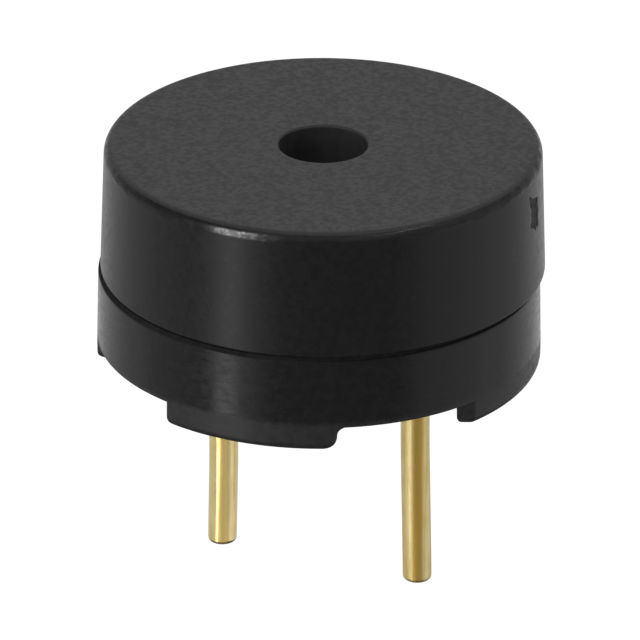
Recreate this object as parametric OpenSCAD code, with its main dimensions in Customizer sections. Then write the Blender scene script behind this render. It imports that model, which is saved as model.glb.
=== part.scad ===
/* [Base] */
// Outer diameter of the base at the parting line
base_diameter = 9; // [7.6:0.02:12]
// Height of the base's wall from its lower edge to the parting line
base_height = 1.54; // [1.2:0.02:3]
// Outward lean of the base's wall towards its lower edge in degrees
base_draft = 1.05; // [0.1:0.05:2]
// Rounding of the base's upper outer edge
base_edge = 0.08; // [0.02:0.01:0.15]
// Rounding of the base's lower outer edge, above the feet
lower_edge = 0.02; // [0.01:0.01:0.15]
// Thickness of the base's floor
base_floor = 0.55; // [0.4:0.05:1]

/* [Cover] */
// Overhang of the cover's lower edge past the base's wall when both are centred
cover_overhang = 0.05; // [0.01:0.01:0.1]
// Height of the cover from the parting line to the top face
cover_height = 2.7; // [2.2:0.02:5]
// Inward lean of the cover's side in degrees
cover_draft = 1.8; // [0.2:0.1:3]
// Thickness of the cover's side above the lap
cover_wall = 0.7; // [0.55:0.05:1]
// Thickness of the cover's skirt along the lap
skirt_wall = 0.5; // [0.3:0.05:0.54]
// Thickness of the cover's top
top_thickness = 0.5; // [0.3:0.05:0.9]
// Rounding of the rim between the side and the top face
rim_radius = 0.2; // [0.05:0.01:0.35]
// Rounding of the cover's lower outer edge
lip_radius = 0.05; // [0.02:0.01:0.15]
// Height of the open seam under the cover's lower outer edge
seam_gap = 0.04; // [0.02:0.01:0.15]
// Depth of the open seam from the cover's side
seam_depth = 0.2; // [0.16:0.01:0.28]
// Diameter of the sound hole
sound_hole = 1.82; // [0.8:0.02:3]
// Rounding of the sound hole's upper edge
hole_edge = 0.05; // [0.01:0.01:0.15]

/* [Gate scar] */
// Width of the broken-off moulding gate on the cover's side
gate_width = 0.56; // [0.2:0.02:1]
// Height of the gate scar
gate_height = 0.75; // [0.2:0.05:1.2]
// Drop from the top face to the upper edge of the gate scar
gate_drop = 0.59; // [0.3:0.01:1]
// Depth of the gate scar below the cover's side
gate_depth = 0.04; // [0.02:0.01:0.1]
// Direction of the gate scar round the cover in degrees
gate_turn = -15.4; // [-180:0.2:180]

/* [Lap joint] */
// Height of the base's spigot inside the cover's skirt
lap_height = 0.6; // [0.3:0.05:1]
// Gap between the spigot and the skirt when both are centred
lap_clearance = 0.085; // [0.03:0.005:0.15]
// Adhesive left where the skirt was pushed against the spigot
glue_film = 0.015; // [0.005:0.005:0.025]
// Room between the spigot's top and the step in the cover
lap_relief = 0.06; // [0.03:0.01:0.2]
// Thickness of the spigot beside the diaphragm
spigot_wall = 0.33; // [0.2:0.01:0.6]

/* [Feet] */
// Height of the feet under the base's wall
foot_height = 0.53; // [0.2:0.01:1]
// Width of the end face at the toe of the two side feet
side_toe = 0.36; // [0.2:0.01:1]
// Width of the end face at the toe of the front and back feet
front_toe = 0.55; // [0.2:0.01:1]
// Reach of every foot past its middle line to the heel
heel_reach = 0.38; // [0.3:0.01:1.5]
// Plan rounding of a foot's outer corners
foot_corner = 0.1; // [0.05:0.01:0.29]
// Rounding of a foot's lower edge along the rim
foot_edge = 0.2; // [0.02:0.01:0.25]
// Rounding of a foot's lower edges at the toe and along the inner side
toe_edge = 0.1; // [0.02:0.01:0.18]
// Bend of a foot's lower edge up to the heel
heel_bend = 0.28; // [0.02:0.01:0.4]
// Fillet between a foot's heel and the base's underside
heel_fillet = 0.21; // [0.05:0.01:0.27]

/* [Pins] */
// Diameter of the pin wire
pin_diameter = 0.6; // [0.4:0.02:0.8]
// Shift of the pins outwards from the middle between the winding's bore and the magnet's rim
pin_shift = 0.05; // [-0.2:0.01:0.3]
// Length of the positive pin below the feet
long_pin = 5.1; // [2:0.05:12]
// Length of the negative pin below the feet
short_pin = 4.23; // [2:0.01:12]
// Swelling of the pins' swaged shanks beyond the wire
shank_swell = 0.02; // [0.01:0.01:0.05]
// Height of the shanks' lower ends above the seat
shank_start = 0.06; // [0.02:0.01:0.1]
// Rounding of the pins' tips
tip_radius = 0.1; // [0.02:0.01:0.18]
// Width of the pins' heads beyond the wire
head_lip = 0.2; // [0.08:0.01:0.25]
// Height of the pins' heads
head_height = 0.15; // [0.08:0.01:0.22]
// Gap between a pin's shank and its hole in the floor
pin_clearance = 0.02; // [0.01:0.005:0.05]

/* [Seal] */
// Depth of the potted recess in the base's underside
seal_depth = 0.25; // [0.1:0.01:0.35]
// Width of potting left all round each pin
seal_margin = 0.45; // [0.2:0.05:0.7]
// Width of bare underside between the potting and the side feet
seal_land = 0.05; // [0.01:0.01:0.3]

/* [Drive] */
// Thickness of the yoke plate
yoke_thickness = 0.35; // [0.28:0.01:0.6]
// Gap round the yoke plate in the base's bore
yoke_clearance = 0.05; // [0.02:0.01:0.1]
// Gap round each pin's head in the yoke plate
head_clearance = 0.1; // [0.05:0.01:0.15]
// Diameter of the core
core_diameter = 1.4; // [1:0.05:2]
// Height of the core above the yoke plate
core_height = 0.92; // [0.6:0.01:1.4]
// Diameter of the core's staked tenon
tenon_diameter = 0.9; // [0.5:0.05:0.95]
// Gap between the core and the winding
core_insulation = 0.05; // [0.02:0.01:0.1]
// Height of the core left above the winding
core_proud = 0.1; // [0.05:0.01:0.2]
// Height of the ring magnet
magnet_height = 0.85; // [0.5:0.01:1.3]
// Gap round the ring magnet in the base's bore
magnet_clearance = 0.1; // [0.05:0.01:0.2]
// Ring-shaped gap between winding and magnet where the leads run
lead_gap = 0.24; // [0.15:0.01:0.4]
// Diameter of the winding's wire
lead_diameter = 0.08; // [0.04:0.01:0.12]
// Gap between the solder and the yoke plate's upper face
solder_clearance = 0.05; // [0.02:0.01:0.05]

/* [Diaphragm] */
// Thickness of the diaphragm
diaphragm_thickness = 0.05; // [0.03:0.01:0.1]
// Width of the ledge that carries the diaphragm
ledge_width = 0.385; // [0.2:0.005:0.6]
// Gap round the diaphragm
diaphragm_clearance = 0.03; // [0.01:0.01:0.08]
// Height of the spigot above the diaphragm
diaphragm_rim = 0.1; // [0.05:0.01:0.3]
// Air gap between the core and the diaphragm
air_gap = 0.12; // [0.05:0.01:0.25]
// Diameter of the armature disc
armature_diameter = 3; // [2:0.1:5]
// Thickness of the armature disc
armature_thickness = 0.25; // [0.1:0.01:0.5]

/* [Hidden] */
$fn = 96;

// Overlap that lets one cut or shape run cleanly past another
overrun = 0.1;

// Levels above the plane on which the feet stand
underside = foot_height;
floor_top = underside + base_floor;
parting = underside + base_height;
seam_top = parting + seam_gap;
top = parting + cover_height;
ceiling = top - top_thickness;
yoke_top = floor_top + yoke_thickness;
core_top = yoke_top + core_height;
coil_top = core_top - core_proud;
ledge = yoke_top + max(core_height, magnet_height) + air_gap;
diaphragm_top = ledge + diaphragm_thickness;
spigot_top = max(parting + lap_height, diaphragm_top + diaphragm_rim);
cover_step = spigot_top + lap_relief;
head_top = floor_top + head_height;
solder_top = yoke_top - solder_clearance;

// Radii and places
base_radius = base_diameter / 2;
underside_radius = base_radius + base_height * tan(base_draft);
cover_radius = base_radius + cover_overhang;
skirt_bore = cover_radius - skirt_wall;
spigot_radius = skirt_bore - lap_clearance;
rim_bore = spigot_radius - spigot_wall;
base_bore = rim_bore - ledge_width;
cover_shift = lap_clearance - glue_film;
hole_radius = sound_hole / 2;
pin_radius = pin_diameter / 2;
shank_radius = pin_radius + shank_swell;
magnet_radius = base_bore - magnet_clearance;
winding_bore = core_diameter / 2 + core_insulation;
pin_place = (magnet_radius + winding_bore) / 2 + pin_shift;
head_radius = pin_radius + head_lip;
coil_radius = pin_place - lead_gap / 2;
lead_bend = lead_gap / 3;
seal_radius = pin_radius + seal_margin;
foot_inset = pin_place + seal_radius + seal_land;
rim_round = min(foot_edge, 0.9 * foot_height);
bend_round = min(heel_bend, 0.55 * foot_height);
heel_round = min(heel_fillet, 0.95 * foot_height - bend_round);

// Radius of the cover's side at a height above the seat
function cover_side(height) = cover_radius - (height - parting) * tan(cover_draft);

function unit(v) = v / norm(v);

// Waste between a corner of an outline and the arc that rounds it.
// The arc touches both sides, which run from the corner to the points a and b.
module corner_waste(corner, a, b, radius) {
    to_a = unit(a - corner);
    to_b = unit(b - corner);
    inward = unit(to_a + to_b);
    half_angle = acos(to_a * to_b) / 2;
    setback = radius / tan(half_angle);
    centre = corner + inward * radius / sin(half_angle);
    difference() {
        polygon([centre, corner + to_a * setback, corner - inward * overrun, corner + to_b * setback]);
        translate(centre) circle(radius);
    }
}

// Half section of the cover, with the rounded rim, hole edge and lower lip over the open seam
module cover_section() {
    lower_corner = [cover_side(seam_top), seam_top];
    upper_corner = [cover_side(top), top];
    hole_rim = [hole_radius, top];
    difference() {
        polygon([
            lower_corner,
            upper_corner,
            hole_rim,
            [hole_radius, ceiling],
            [cover_side(ceiling) - cover_wall, ceiling],
            [cover_side(cover_step) - cover_wall, cover_step],
            [skirt_bore, cover_step],
            [skirt_bore, parting],
            [cover_radius - seam_depth, parting],
            [cover_radius - seam_depth, seam_top]
        ]);
        corner_waste(upper_corner, lower_corner, hole_rim, rim_radius);
        corner_waste(lower_corner, upper_corner, [0, seam_top], lip_radius);
        corner_waste(hole_rim, upper_corner, [hole_radius, ceiling], hole_edge);
    }
}

// Shallow mark where the moulding gate was broken off
module gate_scar() {
    upper = top - gate_drop;
    inner = cover_side(upper - gate_height / 2) - gate_depth;
    rotate([0, 0, gate_turn])
        translate([inner, -gate_width / 2, upper - gate_height])
            cube([cover_wall, gate_width, gate_height]);
}

module cover() {
    color("#2b2b2d")
        translate([cover_shift, 0, 0])
            difference() {
                rotate_extrude() cover_section();
                gate_scar();
            }
}

// Half section of the base without its feet
module base_section() {
    upper_corner = [base_radius, parting];
    lower_corner = [underside_radius, underside];
    difference() {
        polygon([
            [0, underside],
            lower_corner,
            upper_corner,
            [spigot_radius, parting],
            [spigot_radius, spigot_top],
            [rim_bore, spigot_top],
            [rim_bore, ledge],
            [base_bore, ledge],
            [base_bore, floor_top],
            [0, floor_top]
        ]);
        corner_waste(upper_corner, lower_corner, [0, parting], base_edge);
        corner_waste(lower_corner, upper_corner, [0, underside], lower_edge);
    }
}

// Where the rim, drawn in by the given amount, crosses a line at a distance from the middle
function rim_crossing(distance, drawn_in) =
    [distance, -sqrt(pow(underside_radius - drawn_in, 2) - pow(distance, 2))];

// Reach of a foot from its middle line to an end face of the given width at the toe
function toe_reach(toe) = sqrt(pow(underside_radius, 2) - pow(foot_inset + toe, 2));

// Waste that rounds a foot's outer corner in plan; side is -1 at the toe and 1 at the heel
module foot_corner_waste(side, reach) {
    centre = rim_crossing(side * (reach - foot_corner), foot_corner);
    corner = rim_crossing(side * reach, 0);
    difference() {
        polygon([
            centre,
            [side * reach, centre.y],
            corner + unit(corner - centre) * overrun,
            centre * underside_radius / norm(centre)
        ]);
        translate(centre) circle(foot_corner);
    }
}

// Front elevation of a foot, with a rounded lower edge at the toe and a wide bend at the heel
module foot_elevation(reach) {
    toe = [-reach, 0];
    heel = [heel_reach, 0];
    difference() {
        translate(toe) square([reach + heel_reach, foot_height]);
        corner_waste(toe, heel, [-reach, foot_height], toe_edge);
        corner_waste(heel, toe, [heel_reach, foot_height], bend_round);
    }
}

// Half section of the ring that the feet are cut from
module foot_ring_section() {
    outer = [underside_radius, 0];
    difference() {
        translate([foot_inset, 0]) square([underside_radius - foot_inset, foot_height]);
        corner_waste(outer, [foot_inset, 0], [underside_radius, foot_height], rim_round);
    }
}

// Side elevation of a foot, outwards from its inner side, with a rounded lower edge there
module foot_side() {
    inner = [foot_inset, 0];
    difference() {
        translate(inner) square([underside_radius - foot_inset, foot_height]);
        corner_waste(inner, [underside_radius, 0], [foot_inset, foot_height], toe_edge);
    }
}

// One foot on the front side: a piece of the rim behind a straight inner side
module foot(reach) {
    intersection() {
        rotate_extrude() foot_ring_section();
        translate([0, -foot_inset, 0])
            rotate([90, 0, 0])
                linear_extrude(underside_radius) foot_elevation(reach);
        translate([heel_reach, 0, 0])
            rotate([90, 0, -90])
                linear_extrude(reach + heel_reach) foot_side();
        linear_extrude(foot_height)
            difference() {
                circle(underside_radius);
                foot_corner_waste(-1, reach);
                foot_corner_waste(1, heel_reach);
            }
    }
    heel_root();
}

// Section of the fillet between a foot's heel and the underside, from the heel outwards
module root_section() {
    difference() {
        translate([-foot_corner / 2, -heel_round])
            square([foot_corner / 2 + heel_round, heel_round]);
        translate([heel_round, -heel_round]) circle(heel_round);
    }
}

// Fillet under the base along a foot's heel and round its outer corner
module heel_root() {
    corner = rim_crossing(heel_reach - foot_corner, foot_corner);
    intersection() {
        translate([0, 0, underside]) {
            translate([heel_reach, -foot_inset, 0])
                rotate([90, 0, 0])
                    linear_extrude(-corner.y - foot_inset) root_section();
            translate(corner)
                rotate([0, 0, -90])
                    rotate_extrude(angle = 90)
                        translate([foot_corner, 0]) root_section();
        }
        cylinder(r = underside_radius - lower_edge, h = underside);
    }
}

// Recess in the underside that is potted round both pins
module seal_recess() {
    translate([0, 0, underside])
        linear_extrude(seal_depth) {
            square(2 * [pin_place, seal_radius], center = true);
            for (side = [-1, 1])
                translate([side * pin_place, 0]) circle(seal_radius);
        }
}

// Holes for both pins through the levels given
module pin_holes(radius, bottom, height) {
    for (side = [-1, 1])
        translate([side * pin_place, 0, bottom]) cylinder(r = radius, h = height);
}

module base() {
    color("#272729")
        difference() {
            union() {
                rotate_extrude() base_section();
                for (turn = [0, 180]) {
                    rotate([0, 0, turn]) foot(toe_reach(front_toe));
                    rotate([0, 0, turn + 90]) foot(toe_reach(side_toe));
                }
            }
            seal_recess();
            pin_holes(shank_radius + pin_clearance, underside, base_floor + overrun);
        }
}

module diaphragm() {
    color("#b9bcc0")
        translate([0, 0, ledge])
            cylinder(r = rim_bore - diaphragm_clearance, h = diaphragm_thickness);
}

module armature() {
    color("#8e9196")
        translate([0, 0, diaphragm_top])
            cylinder(d = armature_diameter, h = armature_thickness);
}

module yoke() {
    color("#9a9da1")
        difference() {
            translate([0, 0, floor_top])
                cylinder(r = base_bore - yoke_clearance, h = yoke_thickness);
            translate([0, 0, floor_top - overrun])
                cylinder(d = tenon_diameter, h = yoke_thickness + 2 * overrun);
            pin_holes(head_radius + head_clearance, floor_top - overrun, yoke_thickness + 2 * overrun);
        }
}

module core() {
    color("#a4a7ab") {
        translate([0, 0, yoke_top]) cylinder(d = core_diameter, h = core_height);
        translate([0, 0, floor_top]) cylinder(d = tenon_diameter, h = yoke_thickness);
    }
}

module coil() {
    color("#a4552a")
        difference() {
            translate([0, 0, yoke_top])
                cylinder(r = coil_radius, h = coil_top - yoke_top);
            translate([0, 0, yoke_top - overrun])
                cylinder(r = winding_bore, h = core_height + overrun);
        }
}

module magnet() {
    color("#3c3d40")
        difference() {
            translate([0, 0, yoke_top])
                cylinder(r = magnet_radius, h = magnet_height);
            translate([0, 0, yoke_top - overrun])
                cylinder(r = pin_place + lead_gap / 2, h = magnet_height + 2 * overrun);
        }
}

// Half section of a headed pin with a swaged shank and a rounded tip
module pin_section(length) {
    tip = [pin_radius, -length];
    difference() {
        polygon([
            [shank_radius, shank_start],
            [shank_radius, floor_top],
            [head_radius, floor_top],
            [head_radius, head_top],
            [0, head_top],
            [0, -length],
            tip,
            [pin_radius, shank_start]
        ]);
        corner_waste(tip, [0, -length], [pin_radius, shank_start], tip_radius);
    }
}

module pin(side, length) {
    color("#cdb377")
        translate([side * pin_place, 0, 0])
            rotate_extrude() pin_section(length);
}

module pin_positive() {
    pin(1, long_pin);
}

module pin_negative() {
    pin(-1, short_pin);
}

module solder(side) {
    color("#c4c6c8")
        translate([side * pin_place, 0, head_top])
            cylinder(r = head_radius, h = solder_top - head_top);
}

module solder_positive() {
    solder(1);
}

module solder_negative() {
    solder(-1);
}

// Wire end that leaves the winding near its top and runs down to the solder
module lead(side) {
    wire_radius = lead_diameter / 2;
    exit_level = coil_top - lead_diameter;
    bend_level = exit_level - lead_bend;
    bend_start = pin_place - lead_bend;
    mirror([side < 0 ? 1 : 0, 0, 0])
        color("#b86b35") {
            translate([pin_place, 0, solder_top])
                cylinder(r = wire_radius, h = bend_level - solder_top);
            translate([bend_start, 0, bend_level])
                rotate([90, 0, 0])
                    rotate_extrude(angle = 90)
                        translate([lead_bend, 0]) circle(wire_radius);
            translate([coil_radius, 0, exit_level])
                rotate([0, 90, 0])
                    cylinder(r = wire_radius, h = bend_start - coil_radius);
        }
}

module lead_positive() {
    lead(1);
}

module lead_negative() {
    lead(-1);
}

module seal() {
    color("#1d1c1a")
        difference() {
            seal_recess();
            pin_holes(shank_radius, underside - overrun, seal_depth + 2 * overrun);
        }
}

cover();
base();
diaphragm();
armature();
yoke();
core();
coil();
magnet();
pin_positive();
pin_negative();
solder_positive();
solder_negative();
lead_positive();
lead_negative();
seal();
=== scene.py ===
"""Looks of a two-pin magnetic buzzer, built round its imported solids."""

import logging
import math
from dataclasses import dataclass
from enum import Enum, IntEnum
from typing import ClassVar, Protocol, Sequence

import bmesh
import bpy
from mathutils import Matrix, Quaternion, Vector, noise


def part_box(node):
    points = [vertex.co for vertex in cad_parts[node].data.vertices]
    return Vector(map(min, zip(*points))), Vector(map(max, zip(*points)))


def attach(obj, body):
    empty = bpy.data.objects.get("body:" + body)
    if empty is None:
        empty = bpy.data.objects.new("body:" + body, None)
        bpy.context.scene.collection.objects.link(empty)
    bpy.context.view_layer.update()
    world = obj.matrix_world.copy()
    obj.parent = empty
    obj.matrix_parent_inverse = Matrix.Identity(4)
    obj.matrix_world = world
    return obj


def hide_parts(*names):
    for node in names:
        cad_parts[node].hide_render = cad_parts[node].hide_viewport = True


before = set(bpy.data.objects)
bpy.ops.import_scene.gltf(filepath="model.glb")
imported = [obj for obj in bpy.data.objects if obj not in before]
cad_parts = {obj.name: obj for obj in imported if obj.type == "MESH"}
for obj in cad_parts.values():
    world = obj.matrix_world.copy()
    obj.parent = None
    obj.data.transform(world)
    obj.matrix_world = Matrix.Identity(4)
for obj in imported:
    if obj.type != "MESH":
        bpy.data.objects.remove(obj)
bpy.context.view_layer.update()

MM = 0.001
BODY = "root"
CREASE = 32.0
POLE_RADIUS = 1e-6
LOG = logging.getLogger("buzzer")

Point = tuple[float, float]
Colour = tuple[float, float, float]
Place = tuple[float, float, float]


class Slot(Enum):
    """Material slots of the record."""

    COVER = "cover_plastic"
    BASE = "base_plastic"
    BRASS = "pin_brass"
    STEEL = "steel"
    MAGNET = "magnet"
    COPPER = "copper"
    SOLDER = "solder"


class Run(Enum):
    """Direction in which drawn or moulded streaks run."""

    ROUND = "round"
    UPRIGHT = "upright"
    FLAT = "flat"


class Joining(Enum):
    """Way in which a second closed mesh changes a piece."""

    ADD = "UNION"
    CUT = "DIFFERENCE"


@dataclass(frozen=True)
class Corner:
    """Corner of a turned section, in millimetres from the axis and the seat."""

    r: float
    z: float
    rounding: float = 0.0

    def at(self) -> Vector:
        """Place of the corner in the section's plane."""
        return Vector((self.r, self.z))


def rounded_section(corners: Sequence[Corner], steps: int = 10, support: float = 0.02) -> list[Point]:
    """Turn corners into an outline with tangent arcs.

    Args:
        corners: Corners of a closed outline, in order.
        steps: Number of steps along each arc.
        support: Distance from an arc's end to the extra point that keeps its neighbour flat.

    Returns:
        Points of the outline, in millimetres.
    """
    points: list[Point] = []
    for index, corner in enumerate(corners):
        here = corner.at()
        before = corners[index - 1].at() - here
        after = corners[(index + 1) % len(corners)].at() - here
        if corner.rounding <= 0.0:
            points.append(tuple(here))
            continue
        to_before = before.normalized()
        to_after = after.normalized()
        half = to_before.angle(to_after) / 2
        setback = corner.rounding / math.tan(half)
        centre = here + (to_before + to_after).normalized() * corner.rounding / math.sin(half)
        start = here + to_before * setback - centre
        sweep = start.angle_signed(here + to_after * setback - centre)
        if before.length > setback + 2 * support:
            points.append(tuple(here + to_before * (setback + support)))
        for step in range(steps + 1):
            turn = Matrix.Rotation(-sweep * step / steps, 2)
            points.append(tuple(centre + turn @ start))
        if after.length > setback + 2 * support:
            points.append(tuple(here + to_after * (setback + support)))
    return points


def unit(turn: float) -> Vector:
    """Unit vector in plan at an angle in radians."""
    return Vector((math.cos(turn), math.sin(turn)))


def even_angles(count: int) -> list[float]:
    """Evenly spread angles of a full turn, in radians."""
    return [math.tau * index / count for index in range(count)]


def lathe(section: Sequence[Point], angles: Sequence[float], axis: Point = (0.0, 0.0)) -> bmesh.types.BMesh:
    """Revolve a closed section about an upright axis.

    Args:
        section: Outline in millimetres as (radius, height); points on the axis become poles.
        angles: Angles of the columns, in rising order.
        axis: Place of the axis in plan, in millimetres.

    Returns:
        A closed mesh in metres.
    """
    mesh = bmesh.new()
    columns: list[list[bmesh.types.BMVert]] = []
    for radius, height in section:
        turns = [0.0] if radius < POLE_RADIUS else angles
        columns.append([
            mesh.verts.new((
                (axis[0] + radius * math.cos(turn)) * MM,
                (axis[1] + radius * math.sin(turn)) * MM,
                height * MM,
            ))
            for turn in turns
        ])
    for here, there in zip(columns, columns[1:] + columns[:1]):
        if len(here) == 1 and len(there) == 1:
            continue
        for index in range(len(angles)):
            following = (index + 1) % len(angles)
            ring = [here[index % len(here)], here[following % len(here)],
                    there[following % len(there)], there[index % len(there)]]
            mesh.faces.new(list(dict.fromkeys(ring)))
    bmesh.ops.recalc_face_normals(mesh, faces=mesh.faces)
    return mesh


def loft(rings: Sequence[Sequence[Vector]]) -> bmesh.types.BMesh:
    """Skin closed rings of equal length and close both ends.

    Args:
        rings: Rings of points in metres, from the bottom to the top.

    Returns:
        A closed mesh.
    """
    mesh = bmesh.new()
    rows = [[mesh.verts.new(point) for point in ring] for ring in rings]
    for lower, upper in zip(rows, rows[1:]):
        for index in range(len(lower)):
            following = (index + 1) % len(lower)
            mesh.faces.new((lower[index], lower[following], upper[following], upper[index]))
    mesh.faces.new(list(reversed(rows[0])))
    mesh.faces.new(rows[-1])
    bmesh.ops.recalc_face_normals(mesh, faces=mesh.faces)
    return mesh


def as_object(mesh: bmesh.types.BMesh, name: str, crease: float = CREASE) -> bpy.types.Object:
    """Make an object of a mesh, smooth but for its sharp edges.

    Args:
        mesh: Mesh in metres, which is freed.
        name: Name of the object and its data.
        crease: Angle in degrees above which an edge stays sharp.

    Returns:
        The object, linked to the scene.
    """
    data = bpy.data.meshes.new(name)
    mesh.to_mesh(data)
    mesh.free()
    piece = bpy.data.objects.new(name, data)
    bpy.context.scene.collection.objects.link(piece)
    smooth(piece, crease)
    return piece


def smooth(piece: bpy.types.Object, crease: float = CREASE) -> None:
    """Shade a mesh object smooth, with edges above the crease angle sharp.

    Args:
        piece: The object.
        crease: Angle in degrees.
    """
    piece.data.shade_smooth()
    piece.data.set_sharp_from_angle(angle=math.radians(crease))


def combine(piece: bpy.types.Object, other: bpy.types.Object, joining: Joining) -> None:
    """Join a second closed mesh to a piece, or cut it out of it, and delete it.

    Args:
        piece: Object whose mesh is replaced by the result.
        other: Object that is used up.
        joining: Whether the second mesh is added or cut out.
    """
    modifier = piece.modifiers.new("combine", "BOOLEAN")
    modifier.object = other
    modifier.operation = joining.value
    modifier.solver = "EXACT"
    evaluated = piece.evaluated_get(bpy.context.evaluated_depsgraph_get())
    result = bpy.data.meshes.new_from_object(evaluated)
    piece.modifiers.clear()
    old = piece.data
    piece.data = result
    bpy.data.meshes.remove(old)
    spent = other.data
    bpy.data.objects.remove(other)
    bpy.data.meshes.remove(spent)


def weld(piece: bpy.types.Object, gap: float = 0.0001) -> None:
    """Merge points of a mesh that all but coincide, and drop the slivers between them.

    Args:
        piece: The object.
        gap: Distance in millimetres up to which points merge.
    """
    mesh = bmesh.new()
    mesh.from_mesh(piece.data)
    bmesh.ops.remove_doubles(mesh, verts=mesh.verts, dist=gap * MM)
    bmesh.ops.dissolve_degenerate(mesh, edges=mesh.edges, dist=gap * MM)
    mesh.to_mesh(piece.data)
    mesh.free()


def clothe(piece: bpy.types.Object, *materials: bpy.types.Material) -> None:
    """Give a piece its materials, in the order of its regions.

    Args:
        piece: The object.
        materials: One material for each region.
    """
    piece.data.materials.clear()
    for material in materials:
        piece.data.materials.append(material)


class Sheet:
    """Shorthand for laying out the nodes of one material or group."""

    # Places of a mix node's colour sockets, whose names it repeats for numbers and vectors.
    MIX_FIRST = 6
    MIX_SECOND = 7
    MIX_RESULT = 2

    def __init__(self, tree: bpy.types.NodeTree) -> None:
        """Start on a node tree."""
        self.tree = tree

    def add(self, kind: str, *links: tuple[str | int, object], **settings: object) -> bpy.types.Node:
        """Add a node, set its properties and fill its inputs.

        Args:
            kind: Name of the node type, without the ShaderNode prefix.
            links: Pairs of an input and either a socket to link or a value to set.
            settings: Properties of the node.

        Returns:
            The node.
        """
        node = self.tree.nodes.new("ShaderNode" + kind)
        for name, value in settings.items():
            setattr(node, name, value)
        for key, value in links:
            self.feed(node.inputs[key], value)
        return node

    def feed(self, socket: bpy.types.NodeSocket, value: object) -> None:
        """Link a socket to an input, or set the input's own value.

        Args:
            socket: The input.
            value: A socket or a plain value.
        """
        if isinstance(value, bpy.types.NodeSocket):
            self.tree.links.new(value, socket)
        else:
            socket.default_value = value

    def maths(self, operation: str, first: object, second: object = 0.0) -> bpy.types.NodeSocket:
        """Result of one operation on two numbers."""
        return self.add("Math", (0, first), (1, second), operation=operation).outputs[0]

    def plus(self, base: object, value: object, factor: object) -> bpy.types.NodeSocket:
        """Sum of one number and a second one times a factor."""
        return self.maths("ADD", base, self.maths("MULTIPLY", value, factor))

    def clouds(
        self, place: object, scale: object, detail: float, roughness: float = 0.5,
    ) -> bpy.types.NodeSocket:
        """Cloudy noise.

        Args:
            place: Socket with the place on the piece.
            scale: Number of clouds to a metre, as a socket or a value.
            detail: Number of finer layers.
            roughness: Strength of the finer layers.

        Returns:
            A value from 0 to 1.
        """
        node = self.add(
            "TexNoise", ("Vector", place), ("Scale", scale), ("Detail", detail), ("Roughness", roughness),
        )
        return node.outputs[0]

    def spread(
        self, value: object, low: float, high: float, to_low: float, to_high: float,
    ) -> bpy.types.NodeSocket:
        """Map a value from one range to another, held at its ends.

        Args:
            value: Socket to map.
            low: Start of the range that comes in.
            high: End of the range that comes in.
            to_low: Result at the start.
            to_high: Result at the end.

        Returns:
            The mapped value.
        """
        node = self.add(
            "MapRange", ("Value", value), ("From Min", low), ("From Max", high),
            ("To Min", to_low), ("To Max", to_high), interpolation_type="SMOOTHSTEP",
        )
        return node.outputs[0]

    def between(self, share: object, first: float, second: float) -> bpy.types.NodeSocket:
        """Number between two others, at a share from 0 to 1."""
        return self.spread(share, 0.0, 1.0, first, second)

    def blend(self, share: object, first: object, second: object) -> bpy.types.NodeSocket:
        """Colour between two colours.

        Args:
            share: Socket from 0, the first colour, to 1, the second.
            first: Linear colour or colour socket.
            second: Linear colour or colour socket.

        Returns:
            The blended colour.
        """
        ends = [(*end, 1.0) if isinstance(end, tuple) else end for end in (first, second)]
        node = self.add(
            "Mix", (0, share), (self.MIX_FIRST, ends[0]), (self.MIX_SECOND, ends[1]), data_type="RGBA",
        )
        return node.outputs[self.MIX_RESULT]


def new_group(name: str, inputs: dict[str, str], outputs: dict[str, str]) -> tuple[Sheet, dict, dict]:
    """Start a shader node group with named sockets.

    Args:
        name: Name of the group.
        inputs: Socket types by name.
        outputs: Socket types by name.

    Returns:
        The group's sheet, its inner input sockets and its inner output sockets.
    """
    tree = bpy.data.node_groups.new(name, "ShaderNodeTree")
    for label, kind in inputs.items():
        tree.interface.new_socket(label, in_out="INPUT", socket_type="NodeSocket" + kind)
    for label, kind in outputs.items():
        tree.interface.new_socket(label, in_out="OUTPUT", socket_type="NodeSocket" + kind)
    entry = tree.nodes.new("NodeGroupInput")
    leave = tree.nodes.new("NodeGroupOutput")
    return Sheet(tree), dict(entry.outputs.items()), dict(leave.inputs.items())


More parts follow.
